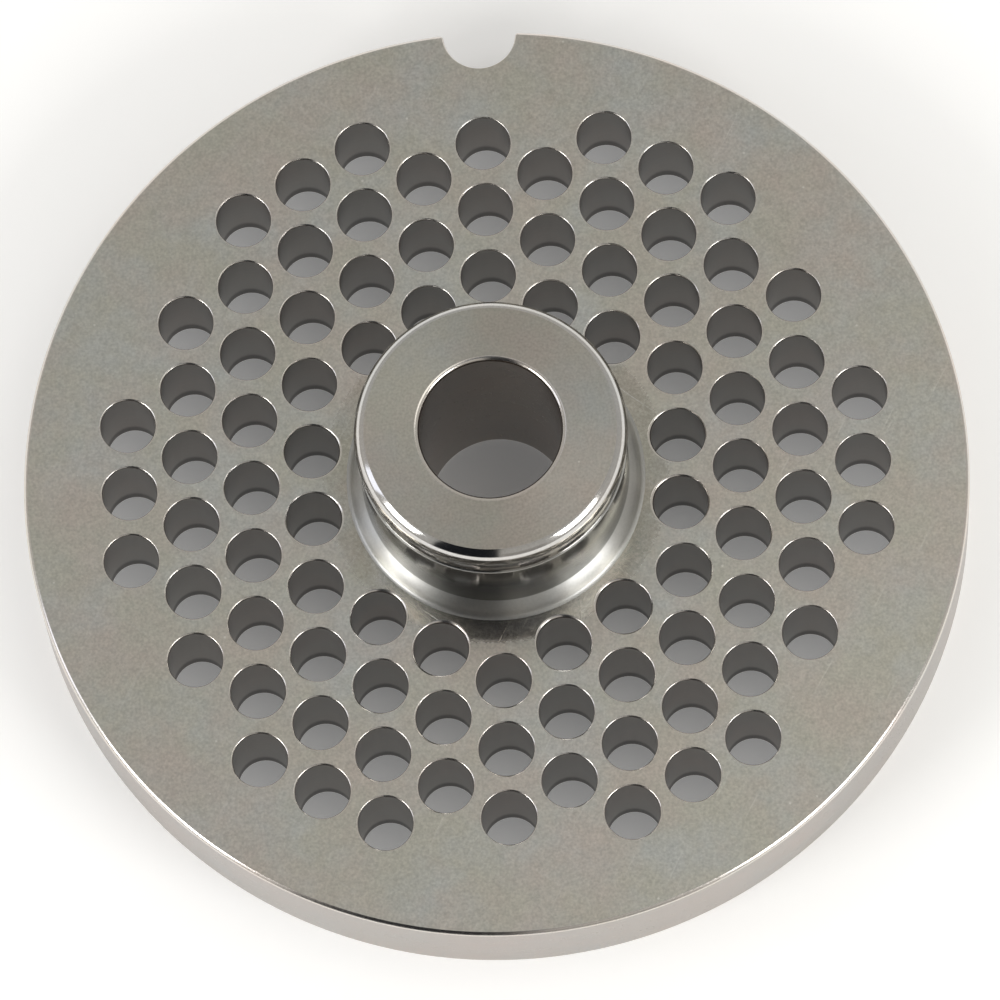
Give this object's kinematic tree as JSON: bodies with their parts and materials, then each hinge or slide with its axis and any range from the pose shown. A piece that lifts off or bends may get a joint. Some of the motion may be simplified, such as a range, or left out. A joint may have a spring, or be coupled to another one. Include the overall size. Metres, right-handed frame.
{
  "type": "meat grinder plate",
  "caption": "Round perforated cutting plate for a meat grinder, with a raised central hub, a bore through it and a rounded locating notch in the rim.",
  "frame": {"origin": "on the bore axis, in the plane of the flat cutting face", "axes": "+Z along the bore axis, from the cutting face towards the hub's end; +Y from the bore axis to the notch in the rim"},
  "size_m": [0.082, 0.0819, 0.0227],
  "materials": {
    "ground_steel": "fine ground and turned steel, satin faces and polished hub foot"
  },
  "bodies": {
    "root": {"grinder_plate": "ground_steel"}
  },
  "joints": []
}
